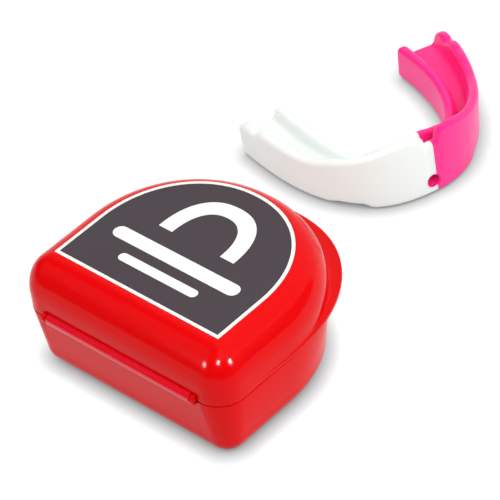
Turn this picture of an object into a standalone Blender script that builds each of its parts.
"""Mouthguard with its hinged storage case: the case is closed and the guard stands beside it.

Lengths below are in millimetres and become metres where a mesh is made. +Z is up, +X runs along the
hinge, and the origin is the centre of the case's flat underside.
"""

import collections
import math

import bmesh
import bpy
from mathutils import Matrix, Vector

MM = 0.001
GAP = 0.3
CUT_PAST = 1.0
CYLINDER_SIDES = 28
SHARP_ANGLE = 35

# The case seen from above: a straight hinge edge with rounded corners, and a rounded far end.
HALF_WIDTH = 40.0
DEPTH = 69.8
FRONT_Y = -DEPTH / 2
BACK_Y = DEPTH / 2
SHOULDER_Y = FRONT_Y + 29.4
CORNER_RADIUS = 8.7
SMALLEST_CORNER = 0.5
END_EXPONENT = 2.1
CORNER_STEPS = 6
END_STEPS = 32

# The case from the side. A fillet is (how far it reaches in, how far it reaches up or down).
HEIGHT = 38.6
SEAM_Z = 21.3
WALL = 1.6
FLOOR = 1.8
BASE_DRAFT = 2.1
BASE_FILLET = (4.1, 5.6)
LID_FILLET = (9.5, 12.0)
FILLET_STEPS = 7
EDGE_BREAK = 0.3

# The base's locating rim stands up inside the lid.
RIM_THICKNESS = 1.1
RIM_HEIGHT = 2.2

# Thumb lip: a crescent that widens round the lid's far end.
LIP_SIDE_REACH = 0.3
LIP_END_REACH = 6.5
LIP_EXPONENT = 2.2
LIP_RUN_IN = 14.0
LIP_EDGE = 1.1
LIP_CLEARANCE = 0.1
LIP_STEPS_ON_SIDE = 4
# The lip's concave top: (share of the way from root to edge, height in lip thicknesses).
LIP_SWEEP = ((0.55, 1.02), (0.3, 1.15), (0.15, 1.4), (0.0, 2.1))

# Hinge: a barrel on the lid turns on a pin, which two ears on the base hold.
HINGE_Z = SEAM_Z + 0.4
BARREL_RADIUS = 1.7
BARREL_HALF = 28.0
EAR_WIDTH = 1.4
PIN_RADIUS = 0.75

# Label on the lid's flat top.
LABEL_HALF_WIDTH = 31.7
LABEL_FRONT = FRONT_Y + 9.6
LABEL_STRAIGHT = 18.7
LABEL_ROUND = 34.0
LABEL_THICKNESS = 0.3

# Mouthguard, in its own frame: +Y points out of the front of the arch, and the white half is on +X.
ARCH_HALF_WIDTH = 38.3
ARCH_REACH = 63.7
ARCH_STATIONS = 26
END_STATIONS = 12
END_SHARE = 0.82
BITE_FLOOR = 8.0
CHANNEL_DRAFT = 0.8
EDGE_ROUND = 1.2
# A rounded edge is two straight cuts that meet this share of the radius from the corner, and a wall's top
# slopes down to its channel side by the second share.
ROUND_CUT = 0.3
TOP_SLOPE = 0.15
VENT_RADIUS = 2.4
VENT_X = 0.3
VENT_Z = 4.7
# The vent's cutter runs this far behind and this far in front of the arch's outer foot.
VENT_BEHIND = 25.0
VENT_BEFORE = 5.0
SEAM_X = -0.9
SEAM_BLEND = 6.0
GUARD_PLACE = (-48.6, 111.7)
GUARD_TURN = math.radians(-108.2)

# Each table is (share of the way from the arch's front to an end, millimetres).
OUTER_RIM = (
    (0.0, 21.7),
    (0.13, 22.3),
    (0.3, 20.3),
    (0.5, 17.3),
    (0.68, 14.9),
    (0.86, 15.1),
    (0.92, 12.9),
    (0.955, 13.5),
    (1.0, 11.4),
)
INNER_RIM = ((0.0, 16.6), (0.2, 15.2), (0.45, 11.6), (0.75, 12.8), (1.0, 11.6))
UNDERSIDE = ((0.0, 0.0), (0.29, 0.0), (0.36, 1.5), (0.47, 1.5), (0.56, 0.6), (0.85, 0.5), (1.0, 0.0))
OUTER_WALL = ((0.0, 2.8), (0.35, 3.1), (1.0, 3.4))
INNER_WALL = ((0.0, 2.4), (1.0, 3.4))
OUTER_LEAN = ((0.0, 1.6), (0.4, -0.3), (1.0, -0.9))
INNER_LEAN = ((0.0, 1.2), (1.0, 0.2))
# A notch in the outer rim clears the lip's frenum: (distance from the seam, how far the rim drops).
NOTCH = ((0.0, 3.6), (2.1, 3.6), (2.9, 1.0), (4.6, 0.0))
NOTCH_SHARES = (0.012, 0.02, 0.026, 0.032, 0.045, 0.06)

# The two halves differ a little in plan.
Half = collections.namedtuple("Half", "side exponent end_angle breadth")
WHITE_HALF = Half(1, 2.55, math.radians(5.6), ((0.0, 13.0), (0.5, 14.3), (1.0, 16.6)))
PINK_HALF = Half(-1, 2.11, math.radians(7.0), ((0.0, 13.0), (0.42, 11.1), (1.0, 16.6)))

RED = (0.62, 0.012, 0.015)
DARK_RED = (0.35, 0.006, 0.008)
LABEL_GREY = (0.085, 0.07, 0.078)
WHITE = (0.86, 0.86, 0.83)
PINK = (0.95, 0.09, 0.33)


def clear_scene():
    for obj in list(bpy.data.objects):
        bpy.data.objects.remove(obj)


def make_collection(name, hidden=False):
    collection = bpy.data.collections.new(name)
    bpy.context.scene.collection.children.link(collection)
    collection.hide_render = hidden
    return collection


def make_material(name, color, roughness):
    material = bpy.data.materials.new(name)
    material.use_nodes = True
    shader = material.node_tree.nodes["Principled BSDF"]
    shader.inputs["Base Color"].default_value = (*color, 1.0)
    shader.inputs["Roughness"].default_value = roughness
    shader.inputs["Metallic"].default_value = 0.0
    return material


def add_object(name, data, collection, material=None):
    obj = bpy.data.objects.new(name, data)
    collection.objects.link(obj)
    if material:
        data.materials.append(material)
    return obj


def make_cutter(obj):
    obj.hide_render = True
    obj.display_type = "WIRE"
    return obj


def hang_on(obj, empty):
    """Parents an object that is already in its place in the world."""
    obj.parent = empty
    obj.matrix_parent_inverse = empty.matrix_world.inverted()


def smooth(obj):
    obj.data.shade_smooth()
    obj.data.set_sharp_from_angle(angle=math.radians(SHARP_ANGLE))


def boolean(obj, other, operation):
    modifier = obj.modifiers.new(operation.title(), "BOOLEAN")
    modifier.operation = operation
    modifier.object = other


def cylinder(name, radius, depth, matrix, collection, material=None):
    """A closed cylinder along its own Z, placed by a matrix whose translation is in millimetres."""
    matrix = matrix.copy()
    matrix.translation *= MM
    bm = bmesh.new()
    bmesh.ops.create_cone(
        bm,
        cap_ends=True,
        segments=CYLINDER_SIDES,
        radius1=radius * MM,
        radius2=radius * MM,
        depth=depth * MM,
        matrix=matrix,
    )
    mesh = bpy.data.meshes.new(name)
    bm.to_mesh(mesh)
    bm.free()
    return add_object(name, mesh, collection, material)


def on_hinge(name, radius, start, end, collection, material=None):
    """A cylinder on the hinge's axis, from start to end along X."""
    place = Matrix.Translation(Vector(((start + end) / 2, FRONT_Y, HINGE_Z)))
    turn = Matrix.Rotation(math.pi / 2, 4, "Y")
    return cylinder(name, radius, abs(end - start), place @ turn, collection, material)


def loft(name, rings):
    """A closed mesh through rings of equal length, with the first and last ring capped."""
    bm = bmesh.new()
    rows = [[bm.verts.new(Vector(point) * MM) for point in ring] for ring in rings]
    count = len(rows[0])
    for low, high in zip(rows, rows[1:]):
        for i in range(count):
            j = (i + 1) % count
            bm.faces.new((low[i], low[j], high[j], high[i]))
    bm.faces.new(rows[0])
    bm.faces.new(rows[-1])
    bmesh.ops.recalc_face_normals(bm, faces=bm.faces)
    mesh = bpy.data.meshes.new(name)
    bm.to_mesh(mesh)
    bm.free()
    return mesh


def quarter(steps):
    """Angles from 0 to 90 degrees."""
    return [math.pi / 2 * i / steps for i in range(steps + 1)]


def signed_power(value, exponent):
    return math.copysign(abs(value) ** exponent, value)


def superellipse(semi_x, semi_y, exponent, angle):
    x = semi_x * signed_power(math.cos(angle), 2 / exponent)
    y = semi_y * signed_power(math.sin(angle), 2 / exponent)
    return x, y


def case_outline(inset):
    """The case's outline moved inwards, anticlockwise from the hinge edge's right end."""
    corner = max(CORNER_RADIUS - inset, SMALLEST_CORNER)
    side = HALF_WIDTH - inset - corner
    front = FRONT_Y + inset + corner
    end_depth = BACK_Y - SHOULDER_Y - inset
    points = [(side + corner * math.sin(a), front - corner * math.cos(a)) for a in quarter(CORNER_STEPS)]
    for i in range(END_STEPS + 1):
        x, y = superellipse(HALF_WIDTH - inset, end_depth, END_EXPONENT, math.pi * i / END_STEPS)
        points.append((x, SHOULDER_Y + y))
    points += [(-side - corner * math.cos(a), front - corner * math.sin(a)) for a in quarter(CORNER_STEPS)]
    return points


def case_loft(name, profile):
    """The case's outline carried through a profile of (inset, height) pairs."""
    return loft(name, [[(x, y, z) for x, y in case_outline(inset)] for inset, z in profile])


def base_profile():
    """Up the outside from the underside, over the locating rim and down to the inner floor."""
    reach, rise = BASE_FILLET
    outer = [
        (BASE_DRAFT + reach * (1 - math.sin(a)), rise * (1 - math.cos(a))) for a in quarter(FILLET_STEPS)
    ]
    top = SEAM_Z - GAP / 2
    rim_outer = WALL + GAP
    rim_inner = rim_outer + RIM_THICKNESS
    rim_top = SEAM_Z + RIM_HEIGHT
    edge = [
        (0.0, top - EDGE_BREAK),
        (EDGE_BREAK, top),
        (rim_outer, top),
        (rim_outer, rim_top - EDGE_BREAK),
        (rim_outer + EDGE_BREAK, rim_top),
        (rim_inner - EDGE_BREAK, rim_top),
        (rim_inner, rim_top - EDGE_BREAK),
        (rim_inner, top - RIM_THICKNESS),
    ]
    inner_rise = rise - FLOOR
    inner = [
        (BASE_DRAFT + WALL + reach * (1 - math.cos(a)), FLOOR + inner_rise * (1 - math.sin(a)))
        for a in quarter(FILLET_STEPS)
    ]
    return outer + edge + inner


def lid_profile():
    """Down the inside from the ceiling, across the lower edge and up the outside to the flat top."""
    reach, rise = LID_FILLET
    start = HEIGHT - rise
    bottom = SEAM_Z + GAP / 2
    inner_rise = rise - WALL
    inner = [
        (WALL + reach * (1 - math.sin(a)), start + inner_rise * math.cos(a)) for a in quarter(FILLET_STEPS)
    ]
    outer = [(reach * (1 - math.cos(a)), start + rise * math.sin(a)) for a in quarter(FILLET_STEPS)]
    return inner + [(WALL, bottom), (EDGE_BREAK, bottom), (0.0, bottom + EDGE_BREAK)] + outer


def lip_stations():
    """(root, edge) points round the lid's far end; the roots lie inside the lid's wall."""
    root_inset = WALL / 2
    stations = []
    for i in range(END_STEPS + 1):
        angle = math.pi * i / END_STEPS
        root = superellipse(HALF_WIDTH - root_inset, BACK_Y - SHOULDER_Y - root_inset, END_EXPONENT, angle)
        edge_reach = BACK_Y - SHOULDER_Y + LIP_END_REACH
        edge = superellipse(HALF_WIDTH + LIP_SIDE_REACH, edge_reach, LIP_EXPONENT, angle)
        stations.append(((root[0], SHOULDER_Y + root[1]), (edge[0], SHOULDER_Y + edge[1])))
    run_in = []
    for i in range(LIP_STEPS_ON_SIDE):
        share = i / LIP_STEPS_ON_SIDE
        eased = share * share * (3 - 2 * share)
        y = SHOULDER_Y - LIP_RUN_IN * (1 - share)
        root_x = HALF_WIDTH - root_inset
        edge_x = root_x + EDGE_BREAK + (root_inset + LIP_SIDE_REACH - EDGE_BREAK) * eased
        run_in.append(((root_x, y), (edge_x, y)))
    run_out = [((-root[0], root[1]), (-edge[0], edge[1])) for root, edge in reversed(run_in)]
    return run_in + stations + run_out


def lip_section(root, edge):
    """A thin crescent section whose top sweeps up into the lid's wall."""
    bottom = SEAM_Z + GAP / 2 + LIP_CLEARANCE
    root, edge = Vector(root), Vector(edge)
    corner = EDGE_BREAK / (edge - root).length
    underside = [(0.0, 0.0), (1 - corner, 0.0), (1.0, EDGE_BREAK)]
    top = [(1.0, LIP_EDGE - EDGE_BREAK), (1 - corner, LIP_EDGE)]
    top += [(share, LIP_EDGE * rise) for share, rise in LIP_SWEEP]
    return [(*root.lerp(edge, share), bottom + rise) for share, rise in underside + top]


def add_base(parts, cutters, material):
    base = add_object("case_base", case_loft("case_base", base_profile()), parts, material)
    room = BARREL_HALF + GAP
    outside = room + EAR_WIDTH
    barrel_room = on_hinge("barrel_room", BARREL_RADIUS + GAP, -room, room, cutters)
    boolean(base, make_cutter(barrel_room), "DIFFERENCE")
    for name, start, end in (("left_ear", -outside, -room), ("right_ear", room, outside)):
        boolean(base, make_cutter(on_hinge(name, BARREL_RADIUS, start, end, cutters)), "UNION")
    bore = on_hinge("ear_bores", PIN_RADIUS + GAP, -outside - CUT_PAST, outside + CUT_PAST, cutters)
    boolean(base, make_cutter(bore), "DIFFERENCE")
    smooth(base)
    return base


def add_lid(parts, cutters, material):
    lid = add_object("case_lid", case_loft("case_lid", lid_profile()), parts, material)
    lip_rings = [lip_section(root, edge) for root, edge in lip_stations()]
    lip = add_object("thumb_lip", loft("thumb_lip", lip_rings), cutters)
    boolean(lid, make_cutter(lip), "UNION")
    outside = BARREL_HALF + GAP + EAR_WIDTH + GAP
    rooms = (("left_ear_room", -outside, -BARREL_HALF), ("right_ear_room", BARREL_HALF, outside))
    for name, start, end in rooms:
        boolean(lid, make_cutter(on_hinge(name, BARREL_RADIUS + GAP, start, end, cutters)), "DIFFERENCE")
    barrel = on_hinge("barrel", BARREL_RADIUS, -BARREL_HALF, BARREL_HALF, cutters)
    boolean(lid, make_cutter(barrel), "UNION")
    bore = on_hinge("barrel_bore", PIN_RADIUS + GAP, -outside, outside, cutters)
    boolean(lid, make_cutter(bore), "DIFFERENCE")
    smooth(lid)
    return lid


def add_pin(parts, material):
    half = BARREL_HALF + GAP + EAR_WIDTH
    pin = on_hinge("hinge_pin", PIN_RADIUS, -half, half, parts, material)
    smooth(pin)
    return pin


def add_label(parts, material):
    """A flat front edge with sharp corners, straight sides and a half-round end."""
    points = [(-LABEL_HALF_WIDTH, LABEL_FRONT), (LABEL_HALF_WIDTH, LABEL_FRONT)]
    for i in range(END_STEPS + 1):
        x, y = superellipse(LABEL_HALF_WIDTH, LABEL_ROUND, END_EXPONENT, math.pi * i / END_STEPS)
        points.append((x, LABEL_FRONT + LABEL_STRAIGHT + y))
    curve = bpy.data.curves.new("lid_label", "CURVE")
    curve.dimensions = "2D"
    curve.fill_mode = "BOTH"
    curve.extrude = LABEL_THICKNESS / 2 * MM
    spline = curve.splines.new("POLY")
    spline.points.add(len(points) - 1)
    for target, (x, y) in zip(spline.points, points):
        target.co = (x * MM, y * MM, 0.0, 1.0)
    spline.use_cyclic_u = True
    label = add_object("lid_label", curve, parts, material)
    label.location.z = (HEIGHT + GAP + LABEL_THICKNESS / 2) * MM
    return label


def value_at(table, share):
    """The value at a share of the arch, eased from one row of the table to the next."""
    for (low, start), (high, end) in zip(table, table[1:]):
        if share <= high:
            part = (share - low) / (high - low)
            return start + (end - start) * part * part * (3 - 2 * part)
    return table[-1][1]


def arch_place(half, share):
    """(point, inward normal) on a half's outer foot at a share of the way from the front to the end."""
    angle = math.pi / 2 - share * (math.pi / 2 - half.end_angle)
    x, y = superellipse(ARCH_HALF_WIDTH, ARCH_REACH, half.exponent, angle)
    steep = half.exponent - 1
    slope_x = (max(x, 0.0) / ARCH_HALF_WIDTH) ** steep / ARCH_HALF_WIDTH
    slope_y = (y / ARCH_REACH) ** steep / ARCH_REACH
    return Vector((x, y)), -Vector((slope_x, slope_y)).normalized()


def rounded_wall(outer_face, channel_face, top):
    """Over the top of a wall from its outer face to its channel face, as (distance in, height) points."""
    r = math.copysign(EDGE_ROUND, channel_face - outer_face)
    return [
        (outer_face, top - EDGE_ROUND),
        (outer_face + ROUND_CUT * r, top - ROUND_CUT * EDGE_ROUND),
        (outer_face + r, top),
        (channel_face - r / 2, top - TOP_SLOPE * EDGE_ROUND),
        (channel_face, top - EDGE_ROUND),
    ]


def rounded_foot(outer_face, inwards, foot):
    """The rounded lower edge of a wall's outer face, from the underside up."""
    r = inwards * EDGE_ROUND
    return [
        (outer_face + r, foot),
        (outer_face + ROUND_CUT * r, foot + ROUND_CUT * EDGE_ROUND),
        (outer_face, foot + EDGE_ROUND),
    ]


def guard_section(half, share, from_seam):
    """A channel: (distance in from the outer foot, height) points round it."""
    breadth = value_at(half.breadth, share)
    foot = value_at(UNDERSIDE, share)
    outer_rim = value_at(OUTER_RIM, share) - value_at(NOTCH, from_seam)
    outer_face = value_at(OUTER_LEAN, share)
    outer_channel = outer_face + value_at(OUTER_WALL, share)
    inner_face = breadth - value_at(INNER_LEAN, share)
    inner_channel = inner_face - value_at(INNER_WALL, share)
    floor = [
        (outer_channel + CHANNEL_DRAFT, BITE_FLOOR),
        (inner_channel - CHANNEL_DRAFT, BITE_FLOOR),
    ]
    outer_side = rounded_foot(0.0, 1, foot) + rounded_wall(outer_face, outer_channel, outer_rim)
    inner_side = rounded_foot(breadth, -1, foot)
    inner_side += rounded_wall(inner_face, inner_channel, value_at(INNER_RIM, share))
    return outer_side + floor + inner_side[::-1]


def guard_shares():
    """Stations from the seam to the end, closer together at the notch and at the knob on the end."""
    shares = {END_SHARE * i / ARCH_STATIONS for i in range(ARCH_STATIONS)}
    shares |= {END_SHARE + (1 - END_SHARE) * i / END_STATIONS for i in range(END_STATIONS + 1)}
    return sorted(shares | set(NOTCH_SHARES))


def add_guard_half(name, half, vent, parts, material, place):
    rings = []
    for share in guard_shares():
        foot, inward = arch_place(half, share)
        ring = []
        for distance, height in guard_section(half, share, foot.x):
            point = foot + inward * distance
            blend = min(max(point.x / SEAM_BLEND, 0.0), 1.0)
            shift = SEAM_X * (1 - blend * blend * (3 - 2 * blend))
            ring.append((half.side * max(point.x, GAP / 2) + shift, point.y, height))
        rings.append(ring)
    half_guard = add_object(name, loft(name, rings), parts, material)
    half_guard.parent = place
    boolean(half_guard, vent, "DIFFERENCE")
    smooth(half_guard)
    return half_guard


def add_guard(parts, cutters, white, pink):
    place = bpy.data.objects.new("guard_place", None)
    parts.objects.link(place)
    place.location = (GUARD_PLACE[0] * MM, GUARD_PLACE[1] * MM, 0.0)
    place.rotation_euler = (0.0, 0.0, GUARD_TURN)
    along_y = Matrix.Rotation(math.pi / 2, 4, "X")
    middle_y = ARCH_REACH + (VENT_BEFORE - VENT_BEHIND) / 2
    middle = Matrix.Translation(Vector((VENT_X, middle_y, VENT_Z)))
    vent = cylinder("vent", VENT_RADIUS, VENT_BEHIND + VENT_BEFORE, middle @ along_y, cutters)
    make_cutter(vent)
    vent.parent = place
    add_guard_half("guard_pink_half", PINK_HALF, vent, parts, pink, place)
    add_guard_half("guard_white_half", WHITE_HALF, vent, parts, white, place)


def main():
    clear_scene()
    parts = make_collection("mouthguard_with_case")
    cutters = make_collection("cutters", hidden=True)
    red = make_material("red_gloss_plastic", RED, 0.22)
    add_base(parts, cutters, red)
    add_pin(parts, make_material("pin_plastic", DARK_RED, 0.35))
    lid_axis = bpy.data.objects.new("lid_axis", None)
    parts.objects.link(lid_axis)
    lid_axis.location = (0.0, FRONT_Y * MM, HINGE_Z * MM)
    lid = add_lid(parts, cutters, red)
    label = add_label(parts, make_material("printed_film", LABEL_GREY, 0.45))
    bpy.context.view_layer.update()
    hang_on(lid, lid_axis)
    hang_on(label, lid_axis)
    white = make_material("white_guard_resin", WHITE, 0.3)
    pink = make_material("pink_guard_resin", PINK, 0.3)
    add_guard(parts, cutters, white, pink)


main()
